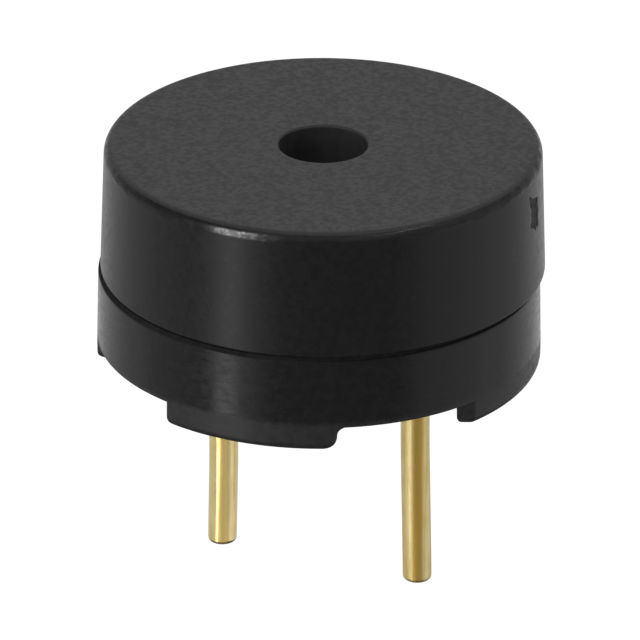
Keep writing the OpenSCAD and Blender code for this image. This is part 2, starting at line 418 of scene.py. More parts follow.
@dataclass(frozen=True)
class SharedEffects:
    """Node groups that several finishes place, each with its own values."""

    grain: bpy.types.NodeTree
    streaks: bpy.types.NodeTree
    scuffs: bpy.types.NodeTree

    CLOUD_SCALE: ClassVar[float] = 0.42
    PEBBLE_SHARE: ClassVar[float] = 0.6
    CLOUD_RANGE: ClassVar[Point] = (0.3, 0.7)
    LINE_RANGE: ClassVar[Point] = (0.32, 0.68)
    SCUFF_RANGE: ClassVar[Point] = (0.6, 0.74)

    @classmethod
    def build(cls) -> "SharedEffects":
        """Make every shared group once."""
        return cls(cls.make_grain(), cls.make_streaks(), cls.make_scuffs())

    @classmethod
    def make_grain(cls) -> bpy.types.NodeTree:
        """Fine pebbled grain of a moulded or sintered surface.

        Returns:
            A group with a height for bump and a slower mottle for colour and gloss.
        """
        sheet, given, result = new_group(
            "fine_grain", {"Place": "Vector", "Size": "Float"}, {"Height": "Float", "Mottle": "Float"},
        )
        fine = sheet.maths("DIVIDE", 1.0, given["Size"])
        coarse = sheet.maths("MULTIPLY", fine, cls.CLOUD_SCALE)
        pebble = sheet.clouds(given["Place"], fine, detail=2.0, roughness=0.55)
        cloud = sheet.clouds(given["Place"], coarse, detail=3.0, roughness=0.6)
        pebbles = sheet.maths("MULTIPLY", pebble, cls.PEBBLE_SHARE)
        sheet.feed(result["Height"], sheet.plus(pebbles, cloud, 1.0 - cls.PEBBLE_SHARE))
        sheet.feed(result["Mottle"], sheet.spread(cloud, *cls.CLOUD_RANGE, 0.0, 1.0))
        return sheet.tree

    @classmethod
    def make_streaks(cls) -> bpy.types.NodeTree:
        """Fine lines that run one way, from drawing or from the mould.

        Returns:
            A group with one value from 0 to 1.
        """
        sheet, given, result = new_group(
            "streaks", {"Place": "Vector", "Stretch": "Vector"}, {"Line": "Float"},
        )
        stretched = sheet.add(
            "VectorMath", (0, given["Place"]), (1, given["Stretch"]), operation="MULTIPLY",
        ).outputs[0]
        lines = sheet.clouds(stretched, 1.0, detail=4.0, roughness=0.6)
        sheet.feed(result["Line"], sheet.spread(lines, *cls.LINE_RANGE, 0.0, 1.0))
        return sheet.tree

    @classmethod
    def make_scuffs(cls) -> bpy.types.NodeTree:
        """Sparse small rub marks from handling.

        Returns:
            A group with a mask from 0 to 1.
        """
        sheet, given, result = new_group("scuffs", {"Place": "Vector", "Size": "Float"}, {"Mask": "Float"})
        scale = sheet.maths("DIVIDE", 1.0, given["Size"])
        patch = sheet.clouds(given["Place"], scale, detail=5.0, roughness=0.7)
        sheet.feed(result["Mask"], sheet.spread(patch, *cls.SCUFF_RANGE, 0.0, 1.0))
        return sheet.tree


class Dressing:
    """One material under construction: its sheet, its place on the piece and its shader."""

    def __init__(self, name: str, effects: SharedEffects) -> None:
        """Start an empty material with a Principled shader.

        Args:
            name: Name of the material.
            effects: Shared node groups.
        """
        self.material = bpy.data.materials.new(name)
        self.material.use_nodes = True
        self.material.node_tree.nodes.clear()
        self.effects = effects
        self.sheet = Sheet(self.material.node_tree)
        self.place = self.sheet.add("TexCoord").outputs["Object"]
        self.shader = self.sheet.add("BsdfPrincipled")
        self.sheet.add("OutputMaterial", ("Surface", self.shader.outputs[0]))

    def group(self, tree: bpy.types.NodeTree, **values: object) -> bpy.types.Node:
        """Place a shared group at this piece's coordinates.

        Args:
            tree: The group.
            values: Its own values, by input name.

        Returns:
            The group node.
        """
        node = self.sheet.add("Group", node_tree=tree)
        self.sheet.feed(node.inputs["Place"], self.place)
        for key, value in values.items():
            self.sheet.feed(node.inputs[key], value)
        return node

    def grain(self, size: float) -> bpy.types.Node:
        """Grain with pebbles of a size in millimetres."""
        return self.group(self.effects.grain, Size=size * MM)

    def streaks(self, run: Run, width: float, length: float) -> bpy.types.NodeSocket:
        """Streaks of a width and a length in millimetres.

        Args:
            run: Direction of the streaks.
            width: Typical width of a line.
            length: Typical length of a line.

        Returns:
            A value from 0 to 1.
        """
        across = 1.0 / (width * MM)
        along = 1.0 / (length * MM)
        stretch = {
            Run.ROUND: (along, along, across),
            Run.UPRIGHT: (across, across, along),
            Run.FLAT: (along, across, across),
        }[run]
        return self.group(self.effects.streaks, Stretch=stretch).outputs[0]

    def scuffs(self, size: float) -> bpy.types.NodeSocket:
        """Mask of rub marks of a size in millimetres."""
        return self.group(self.effects.scuffs, Size=size * MM).outputs[0]

    def height_above_seat(self) -> bpy.types.NodeSocket:
        """Height on the piece, in metres."""
        return self.sheet.add("SeparateXYZ", (0, self.place)).outputs[2]

    def by_height(self, start: float, end: float, below: float, above: float) -> bpy.types.NodeSocket:
        """Value that changes with the height on the piece.

        Args:
            start: Height in millimetres at which the change starts.
            end: Height in millimetres at which it ends.
            below: Value up to the start.
            above: Value from the end.

        Returns:
            The value.
        """
        return self.sheet.spread(self.height_above_seat(), start * MM, end * MM, below, above)

    def bump(self, height: object, depth: float) -> None:
        """Feed a height to the shader's normal.

        Args:
            height: Socket from 0 to 1.
            depth: Depth of the full height, in millimetres.
        """
        node = self.sheet.add("Bump", ("Height", height), ("Distance", depth * MM))
        self.sheet.feed(self.shader.inputs["Normal"], node.outputs[0])

    def set(self, **values: object) -> None:
        """Set or link the shader's inputs; underscores in a name stand for spaces."""
        for key, value in values.items():
            self.sheet.feed(self.shader.inputs[key.replace("_", " ")], value)


class Recipe(Protocol):
    """Finish that can be made into a material."""

    def make(self, effects: SharedEffects) -> bpy.types.Material:
        """Build the material with the shared node groups."""


@dataclass(frozen=True)
class Rub:
    """Glossy patch where handling has polished a rim; lengths in millimetres."""

    place: Place
    below: float
    core: float = 0.095
    reach: float = 0.95
    blend: float = 0.05
    roughness: float = 0.17
    ior: float = 2.15
    mottle_range: Point = (0.1, 0.9)
    patchiness: Point = (0.3, 1.0)

    def mask(self, dress: Dressing, mottle: bpy.types.NodeSocket) -> bpy.types.NodeSocket:
        """Mask of the patch, broken up by the grain.

        Args:
            dress: The material under construction.
            mottle: Slow mottle of the grain.

        Returns:
            A value from 0 to 1.
        """
        sheet = dress.sheet
        spot = tuple(value * MM for value in self.place)
        away = sheet.add("VectorMath", (0, dress.place), (1, spot), operation="DISTANCE").outputs["Value"]
        near = sheet.spread(away, self.core * MM, self.reach * MM, 1.0, 0.0)
        low = dress.by_height(self.below, self.below + self.blend, 1.0, 0.0)
        worn = sheet.spread(mottle, *self.mottle_range, *self.patchiness)
        return sheet.maths("MULTIPLY", sheet.maths("MULTIPLY", near, low), worn)


@dataclass(frozen=True)
class BlackPlastic:
    """Moulded black plastic, dull and grained, polished, or a mix by height; lengths in millimetres."""

    name: str
    dark: Colour
    light: Colour
    roughness: float
    ior: float
    grain_size: float
    grain_depth: float
    mottle_gloss: float = 0.05
    streak_width: float = 0.07
    streak_length: float = 0.35
    streak_gloss: float = 0.0
    streak_height: float = 0.0
    scuff_size: float = 0.9
    scuff_gloss: float = 0.08
    matte_below: float | None = None
    matte_blend: float = 0.08
    matte_roughness: float = 0.38
    matte_dark: Colour = (0.0105, 0.0104, 0.0104)
    matte_light: Colour = (0.0155, 0.0154, 0.0154)
    wavy_above: float | None = None
    wavy_blend: float = 0.06
    wavy_roughness: float = 0.28
    wave_depth: float = 0.045
    wave_size: float = 0.4
    wave_detail: float = 0.6
    rub: Rub | None = None

    def gloss(
        self, dress: Dressing, line: bpy.types.NodeSocket, mottle: bpy.types.NodeSocket,
    ) -> bpy.types.NodeSocket:
        """Roughness of the plain surface, with its streaks, mottle and rub marks.

        Args:
            dress: The material under construction.
            line: Streaks of the mould.
            mottle: Slow mottle of the grain.

        Returns:
            The roughness.
        """
        sheet = dress.sheet
        streaked = sheet.between(line, self.roughness - self.streak_gloss, self.roughness + self.streak_gloss)
        mottled = sheet.between(mottle, -self.mottle_gloss, self.mottle_gloss)
        rough = sheet.maths("ADD", streaked, mottled)
        return sheet.plus(rough, dress.scuffs(self.scuff_size), self.scuff_gloss)

    def make(self, effects: SharedEffects) -> bpy.types.Material:
        """Build the material.

        Args:
            effects: Shared node groups.

        Returns:
            The material.
        """
        dress = Dressing(self.name, effects)
        sheet = dress.sheet
        grain = dress.grain(self.grain_size)
        mottle = grain.outputs["Mottle"]
        line = dress.streaks(Run.ROUND, self.streak_width, self.streak_length)
        colour = sheet.blend(mottle, self.dark, self.light)
        rough = self.gloss(dress, line, mottle)
        height = sheet.plus(grain.outputs["Height"], line, self.streak_height)
        if self.matte_below is not None:
            start = self.matte_below - self.matte_blend
            end = self.matte_below + self.matte_blend
            matte = dress.by_height(start, end, 1.0, 0.0)
            rough = sheet.plus(rough, matte, self.matte_roughness - self.roughness)
            patchy = sheet.blend(mottle, self.matte_dark, self.matte_light)
            colour = sheet.blend(matte, colour, patchy)
        if self.wavy_above is not None:
            wavy = dress.by_height(self.wavy_above, self.wavy_above + self.wavy_blend, 0.0, 1.0)
            rough = sheet.plus(rough, wavy, self.wavy_roughness - self.roughness)
            waves = sheet.clouds(dress.place, 1.0 / (self.wave_size * MM), self.wave_detail)
            centred = sheet.maths("SUBTRACT", waves, 0.5)
            swing = sheet.maths("MULTIPLY", centred, self.wave_depth / self.grain_depth)
            height = sheet.plus(height, swing, wavy)
            if self.rub is not None:
                coat = sheet.maths("MULTIPLY", self.rub.mask(dress, mottle), wavy)
                dress.set(Coat_Weight=coat, Coat_Roughness=self.rub.roughness, Coat_IOR=self.rub.ior)
        dress.set(Base_Color=colour, Roughness=rough, IOR=self.ior)
        dress.bump(height, self.grain_depth)
        return dress.material


@dataclass(frozen=True)
class Brass:
    """Drawn brass wire with bright and tarnished lines and a painted reflection in a band along its front;
    lengths in millimetres.
    """

    name: str
    bright: Colour
    dull: Colour
    painted_reflection: Colour
    painted_reflection_place: float
    roughness: float
    painted_reflection_core: float = 0.06
    painted_reflection_reach: float = 0.14
    front_blend: float = 0.05
    line_width: float = 0.09
    line_length: float = 3.0
    line_share: float = 0.65
    fine_width: float = 0.025
    fine_length: float = 1.2
    fine_share: float = 0.4
    stain_size: float = 0.25
    gloss_drop: float = 0.05
    gloss_rise: float = 0.07
    line_depth: float = 0.0012

    def make(self, effects: SharedEffects) -> bpy.types.Material:
        """Build the material.

        Args:
            effects: Shared node groups.

        Returns:
            The material.
        """
        dress = Dressing(self.name, effects)
        sheet = dress.sheet
        line = dress.streaks(Run.UPRIGHT, self.line_width, self.line_length)
        fine = dress.streaks(Run.UPRIGHT, self.fine_width, self.fine_length)
        stain = dress.grain(self.stain_size).outputs["Mottle"]
        share = sheet.plus(sheet.maths("MULTIPLY", line, self.line_share), stain, 1.0 - self.line_share)
        rough = sheet.between(fine, self.roughness - self.gloss_drop, self.roughness + self.gloss_rise)
        place = sheet.add("SeparateXYZ", (0, dress.place)).outputs
        # Band along the wire's front, towards the camera, painted with a reflection: darker on the long pin,
        # lighter on the short one.
        off = sheet.maths("ABSOLUTE", sheet.maths("SUBTRACT", place[0], self.painted_reflection_place * MM))
        painted_reflection = sheet.spread(off, self.painted_reflection_core * MM, self.painted_reflection_reach * MM, 1.0, 0.0)
        front = sheet.spread(place[1], -self.front_blend * MM, 0.0, 1.0, 0.0)
        skin = sheet.blend(share, self.bright, self.dull)
        skin = sheet.blend(sheet.maths("MULTIPLY", painted_reflection, front), skin, self.painted_reflection)
        dress.set(Base_Color=skin, Metallic=1.0, Roughness=rough)
        dress.bump(sheet.plus(line, fine, self.fine_share), self.line_depth)
        return dress.material


@dataclass(frozen=True)
class PlainMetal:
    """Stamped or cast metal with faint working marks; lengths in millimetres."""

    name: str
    bright: Colour
    dull: Colour
    roughness: float
    run: Run
    line_width: float
    grain_size: float
    grain_depth: float
    line_stretch: float = 30.0
    gloss_drop: float = 0.06
    gloss_rise: float = 0.08
    scuff_size: float = 0.5
    scuff_gloss: float = 0.1

    def make(self, effects: SharedEffects) -> bpy.types.Material:
        """Build the material.

        Args:
            effects: Shared node groups.

        Returns:
            The material.
        """
        dress = Dressing(self.name, effects)
        sheet = dress.sheet
        grain = dress.grain(self.grain_size)
        line = dress.streaks(self.run, self.line_width, self.line_stretch * self.line_width)
        share = sheet.maths("MULTIPLY", sheet.maths("ADD", line, grain.outputs["Mottle"]), 0.5)
        rough = sheet.between(line, self.roughness - self.gloss_drop, self.roughness + self.gloss_rise)
        rough = sheet.plus(rough, dress.scuffs(self.scuff_size), self.scuff_gloss)
        dress.set(Base_Color=sheet.blend(share, self.bright, self.dull), Metallic=1.0, Roughness=rough)
        dress.bump(sheet.maths("ADD", grain.outputs["Height"], line), self.grain_depth)
        return dress.material


@dataclass(frozen=True)
class Ferrite:
    """Dark sintered magnet body or cured potting, dull with pores; lengths in millimetres."""

    name: str
    dark: Colour
    light: Colour
    roughness: float
    grain_size: float
    grain_depth: float
    mottle_gloss: float = 0.08
    scuff_size: float = 0.4
    scuff_gloss: float = 0.1

    def make(self, effects: SharedEffects) -> bpy.types.Material:
        """Build the material.

        Args:
            effects: Shared node groups.

        Returns:
            The material.
        """
        dress = Dressing(self.name, effects)
        sheet = dress.sheet
        grain = dress.grain(self.grain_size)
        mottle = grain.outputs["Mottle"]
        rough = sheet.between(mottle, self.roughness - self.mottle_gloss, self.roughness + self.mottle_gloss)
        rough = sheet.plus(rough, dress.scuffs(self.scuff_size), self.scuff_gloss)
        dress.set(Base_Color=sheet.blend(mottle, self.dark, self.light), Roughness=rough)
        dress.bump(grain.outputs["Height"], self.grain_depth)
        return dress.material


@dataclass(frozen=True)
class Finishes:
    """Every material of the buzzer."""

    cover_top: bpy.types.Material
    cover_side: bpy.types.Material
    cover_inside: bpy.types.Material
    torn_gate: bpy.types.Material
    base: bpy.types.Material
    foot_end_painted_light: bpy.types.Material
    seam: bpy.types.Material
    long_brass: bpy.types.Material
    short_brass: bpy.types.Material
    steel: bpy.types.Material
    magnet: bpy.types.Material
    copper: bpy.types.Material
    solder: bpy.types.Material
    potting: bpy.types.Material

    @classmethod
    def build(cls) -> "Finishes":
        """Make every material once.

        Returns:
            The materials.
        """
        effects = SharedEffects.build()
        recipes: dict[str, Recipe] = {
            "cover_top": BlackPlastic(
                "cover_top_plastic", (0.003, 0.003, 0.0031), (0.012, 0.012, 0.0121),
                roughness=0.5, ior=1.36, grain_size=0.045, grain_depth=0.009, mottle_gloss=0.1,
            ),
            "cover_side": BlackPlastic(
                "cover_side_plastic", (0.003, 0.003, 0.0031), (0.005, 0.005, 0.0051),
                roughness=0.3, ior=1.28, grain_size=0.06, grain_depth=0.0012, mottle_gloss=0.03,
                wavy_above=4.55, rub=Rub(place=(-1.56, -4.08, 4.62), below=4.67),
            ),
            "cover_inside": BlackPlastic(
                "cover_inside_plastic", (0.012, 0.012, 0.0122), (0.016, 0.016, 0.0162),
                roughness=0.6, ior=1.4, grain_size=0.08, grain_depth=0.003,
            ),
            "torn_gate": BlackPlastic(
                "torn_gate_plastic", (0.003, 0.003, 0.0031), (0.045, 0.045, 0.0451),
                roughness=0.7, ior=1.22, grain_size=0.06, grain_depth=0.05, mottle_gloss=0.1,
            ),
            "base": BlackPlastic(
                "base_plastic", (0.003, 0.003, 0.0031), (0.005, 0.005, 0.0051),
                roughness=0.22, ior=1.28, grain_size=0.07, grain_depth=0.0012, mottle_gloss=0.04,
                streak_gloss=0.05, streak_height=0.16, matte_below=0.61,
            ),
            # Lighter finish of the feet's end faces, the same plastic as the base: painted light on these
            # faces.
            "foot_end_painted_light": BlackPlastic(
                "foot_end_plastic", (0.021, 0.0195, 0.0195), (0.026, 0.0242, 0.0242),
                roughness=0.5, ior=1.3, grain_size=0.07, grain_depth=0.002,
            ),
            # Dull, hardly reflecting dark finish of the glue in the groove and of the rounded edges beside
            # it: partly the glue's own colour, partly painted shade of the groove.
            "seam": BlackPlastic(
                "seam_glue_and_painted_shade", (0.007, 0.007, 0.0071), (0.011, 0.011, 0.0111),
                roughness=0.7, ior=1.06, grain_size=0.06, grain_depth=0.003,
            ),
            # Long pin: a darker front band, painted reflection of the dark surroundings in front.
            "long_brass": Brass(
                "long_pin_brass", (0.72, 0.6, 0.32), (0.56, 0.43, 0.16),
                painted_reflection=(0.54, 0.35, 0.085), painted_reflection_place=2.05, roughness=0.46,
            ),
            # Short pin: a lighter front band, painted highlight along its front.
            "short_brass": Brass(
                "short_pin_brass", (0.72, 0.6, 0.32), (0.58, 0.45, 0.17),
                painted_reflection=(0.95, 0.71, 0.25), painted_reflection_place=-1.97, roughness=0.2,
            ),
            "steel": PlainMetal(
                "plated_steel", (0.56, 0.57, 0.59), (0.4, 0.41, 0.43),
                roughness=0.34, run=Run.FLAT, line_width=0.04, grain_size=0.12, grain_depth=0.001,
            ),
            "magnet": Ferrite(
                "sintered_magnet", (0.02, 0.02, 0.022), (0.05, 0.05, 0.053),
                roughness=0.62, grain_size=0.06, grain_depth=0.004,
            ),
            "copper": PlainMetal(
                "enamelled_copper", (0.68, 0.27, 0.11), (0.46, 0.15, 0.055),
                roughness=0.28, run=Run.ROUND, line_width=0.03, grain_size=0.08, grain_depth=0.0008,
            ),
            "solder": PlainMetal(
                "solder", (0.66, 0.67, 0.68), (0.5, 0.51, 0.52),
                roughness=0.3, run=Run.FLAT, line_width=0.06, grain_size=0.06, grain_depth=0.0016,
            ),
            "potting": Ferrite(
                "potting", (0.012, 0.011, 0.01), (0.022, 0.02, 0.017),
                roughness=0.32, grain_size=0.3, grain_depth=0.004,
            ),
        }
        return cls(**{name: recipe.make(effects) for name, recipe in recipes.items()})


def settle(piece: bpy.types.Object, node: str) -> bpy.types.Object:
    """Let a new piece stand for a node of the frame.

    Args:
        piece: The finished piece.
        node: Name of the node that it replaces.

    Returns:
        The piece.
    """
    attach(piece, BODY)
    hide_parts(node)
    LOG.info("%s stands for %s, %d faces", piece.name, node, len(piece.data.polygons))
    return piece


def middle(node: str) -> Point:
    """Middle of a node's box in plan, in millimetres."""
    low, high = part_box(node)
    return ((low.x + high.x) / 2 / MM, (low.y + high.y) / 2 / MM)


def levels(node: str) -> Point:
    """Lowest and highest level of a node, in millimetres."""
    low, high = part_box(node)
    return (low.z / MM, high.z / MM)


def reach(node: str) -> float:
    """Half of a node's width, in millimetres."""
    low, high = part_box(node)
    return max(high.x - low.x, high.y - low.y) / 2 / MM


class CoverRegion(IntEnum):
    """Regions of the cover, in the order of their materials."""

    SIDE = 0
    TOP = 1
    INSIDE = 2
    SEAM = 3
    TORN = 4


@dataclass
class Cover:
    """Moulded cover with its sound hole, lap skirt and gate scar; sizes in millimetres."""

    radius: float = 4.55
    draft: float = 1.8
    wall: float = 0.7
    skirt_wall: float = 0.5
    top_thickness: float = 0.5
    rim_radius: float = 0.2
    lip_radius: float = 0.06
    seam_gap: float = 0.012
    seam_depth: float = 0.2
    sound_hole: float = 1.82
    hole_edge: float = 0.05
    collar_drop: float = 0.42
    collar_wall: float = 0.4
    lap_step: float = 0.66
    gate_width: float = 0.56
    gate_height: float = 0.75
    gate_drop: float = 0.55
    gate_depth: float = 0.022
    gate_turn: float = -17.4
    gate_slant: float = 0.33
    # Distance round the side, distance upwards and width of each deeper pit, from the scar's middle.
    gate_pits: tuple[Place, ...] = ((0.12, 0.1, 0.06), (0.14, -0.2, 0.07), (-0.02, -0.3, 0.05))
    columns: int = 320
    scar_pitch: float = 0.025
    scar_spare_rows: int = 8
    scar_spare_columns: int = 4
    scar_clearance: float = 1.05
    scar_sector: float = 0.3
    scar_edge: float = 0.06
    tear_rate: float = 6.0
    tear_depth: float = 0.1
    tear_shift: float = -0.015
    tear_seed: float = 1.7
    lump_rate: float = 5.0
    lump_mean: float = 0.7
    lump_swing: float = 0.5
    lump_seed: float = 4.2
    top_band: float = 0.1
    top_facing: float = 0.8
    shaded_seam_facing: float = -0.5
    torn_share: float = 0.3

    def section(self) -> list[Point]:
        """Closed half section, with close rows where the gate scar lies.

        Returns:
            Points in millimetres.
        """
        parting, top = levels("cover")
        lean = math.tan(math.radians(self.draft))
        lower = self.radius
        upper = lower - (top - parting) * lean
        ceiling = top - self.top_thickness
        step = parting + self.lap_step
        inner_top = lower - (ceiling - parting) * lean - self.wall
        inner_step = lower - (step - parting) * lean - self.wall
        hole = self.sound_hole / 2
        seam = parting + self.seam_gap
        points = rounded_section([
            Corner(lower - self.seam_depth, seam),
            Corner(lower - self.seam_gap * lean, seam, self.lip_radius),
            Corner(upper, top, self.rim_radius),
            Corner(hole, top, self.hole_edge),
            Corner(hole, ceiling - self.collar_drop, self.hole_edge),
            Corner(hole + self.collar_wall, ceiling - self.collar_drop, self.hole_edge),
            Corner(hole + self.collar_wall, ceiling),
            Corner(inner_top, ceiling),
            Corner(inner_step, step),
            Corner(lower - self.skirt_wall, step),
            Corner(lower - self.skirt_wall, parting),
            Corner(lower - self.seam_depth, parting),
        ])
        scar_top = top - self.gate_drop + self.scar_spare_rows * self.scar_pitch
        scar_rows = round(self.gate_height / self.scar_pitch) + 2 * self.scar_spare_rows
        rows = [scar_top - index * self.scar_pitch for index in range(scar_rows, -1, -1)]
        above = next(index for index, (_, z) in enumerate(points) if z > rows[0])
        extra = [(lower - (z - parting) * lean, z) for z in rows]
        return points[:above] + extra + points[above:]

    def angles(self) -> list[float]:
        """Angles of the columns, closer together at the gate scar.

        Returns:
            Angles in radians, in rising order.
        """
        scar_turn = math.radians(self.gate_turn) % math.tau
        half = (self.gate_width / 2 + self.scar_spare_columns * self.scar_pitch) / self.radius
        count = round(2 * half * self.radius / self.scar_pitch)
        close = [scar_turn - half + 2 * half * index / count for index in range(count + 1)]
        room = half * self.scar_clearance
        wide = [turn for turn in even_angles(self.columns) if abs(turn - scar_turn) > room]
        return sorted(wide + close)

    def scar_share(self, along: float, up: float) -> float:
        """Share of the gate scar's depth at a place in its own frame.

        Args:
            along: Distance round the side from the scar's middle.
            up: Distance upwards from the scar's middle.

        Returns:
            A share from 0 outside the torn edge to 1.
        """
        spot = Vector((along * self.tear_rate, up * self.tear_rate, self.tear_seed))
        tear = noise.noise(spot) * self.tear_depth + self.tear_shift
        room = min(self.gate_width / 2 - abs(along), self.gate_height / 2 - abs(up)) + tear
        return min(max(room / self.scar_edge, 0.0), 1.0)

    def scar_place(self, point: Vector, axis: Point, top: float) -> Point | None:
        """Place of a point in the gate scar's own frame.

        Args:
            point: Point in metres.
            axis: The cover's axis in plan, in millimetres.
            top: Level of the cover's top, in millimetres.

        Returns:
            Distance round the side and upwards from the scar's middle, or None off the outer side.
        """
        x = point.x / MM - axis[0]
        y = point.y / MM - axis[1]
        radius = math.hypot(x, y)
        turn = math.atan2(y, x) - math.radians(self.gate_turn)
        if radius < self.radius - self.wall / 2 or abs(turn) > self.scar_sector:
            return None
        along = turn * radius
        scar_level = top - self.gate_drop - self.gate_height / 2
        return (along, point.z / MM - scar_level + self.gate_slant * along)

    def break_gate(self, mesh: bmesh.types.BMesh, axis: Point, top: float) -> None:
        """Sink the torn gate into the side.

        Args:
            mesh: The cover's mesh, in metres.
            axis: The cover's axis in plan, in millimetres.
            top: Level of the cover's top, in millimetres.
        """
        for vertex in mesh.verts:
            place = self.scar_place(vertex.co, axis, top)
            if place is None:
                continue
            along, up = place
            share = self.scar_share(along, up)
            spot = Vector((along * self.lump_rate, up * self.lump_rate, self.lump_seed))
            lumps = self.lump_mean + self.lump_swing * noise.noise(spot)
            pits = sum(
                math.exp(-((along - side) ** 2 + (up - level) ** 2) / spread ** 2)
                for side, level, spread in self.gate_pits
            )
            eased = share ** 2 * (3 - 2 * share)
            depth = self.gate_depth * eased * (lumps + pits)
            inward = Vector((vertex.co.x - axis[0] * MM, vertex.co.y - axis[1] * MM, 0.0)).normalized()
            vertex.co -= inward * depth * MM

    def region(self, face: bpy.types.MeshPolygon, axis: Point, top: float) -> CoverRegion:
        """Region that a face lies in.

        Args:
            face: Face of the finished mesh.
            axis: The cover's axis in plan, in millimetres.
            top: Level of the cover's top, in millimetres.

        Returns:
            The region.
        """
        if face.normal.z > self.top_facing and face.center.z > (top - self.top_band) * MM:
            return CoverRegion.TOP
        plan = math.hypot(face.center.x - axis[0] * MM, face.center.y - axis[1] * MM)
        if plan < (self.radius - self.skirt_wall / 2) * MM:
            return CoverRegion.INSIDE
        # The lip's downward rounding takes the dull dark finish: painted shade of the groove.
        if face.normal.z < self.shaded_seam_facing:
            return CoverRegion.SEAM
        place = self.scar_place(face.center, axis, top)
        if place is not None and self.scar_share(*place) > self.torn_share:
            return CoverRegion.TORN
        return CoverRegion.SIDE

    def dress(self, piece: bpy.types.Object, finishes: Finishes, axis: Point, top: float) -> None:
        """Give each region of the cover its finish.

        Args:
            piece: The finished piece.
            finishes: The materials.
            axis: The cover's axis in plan, in millimetres.
            top: Level of the cover's top, in millimetres.
        """
        coats = {
            CoverRegion.SIDE: finishes.cover_side,
            CoverRegion.TOP: finishes.cover_top,
            CoverRegion.INSIDE: finishes.cover_inside,
            CoverRegion.SEAM: finishes.seam,
            CoverRegion.TORN: finishes.torn_gate,
        }
        clothe(piece, *(coats[region] for region in CoverRegion))
        for face in piece.data.polygons:
            face.material_index = self.region(face, axis, top)

    def build(self, finishes: Finishes) -> bpy.types.Object:
        """Build and dress the cover.

        Args:
            finishes: The materials.

        Returns:
            The piece.
        """
        axis = middle("cover")
        top = levels("cover")[1]
        mesh = lathe(self.section(), self.angles(), axis)
        self.break_gate(mesh, axis, top)
        piece = as_object(mesh, "cover_shell")
        self.dress(piece, finishes, axis, top)
        return settle(piece, "cover")


class BaseRegion(IntEnum):
    """Regions of the base, in the order of their materials."""

    WALL = 0
    SEAM = 1
    FOOT_END = 2


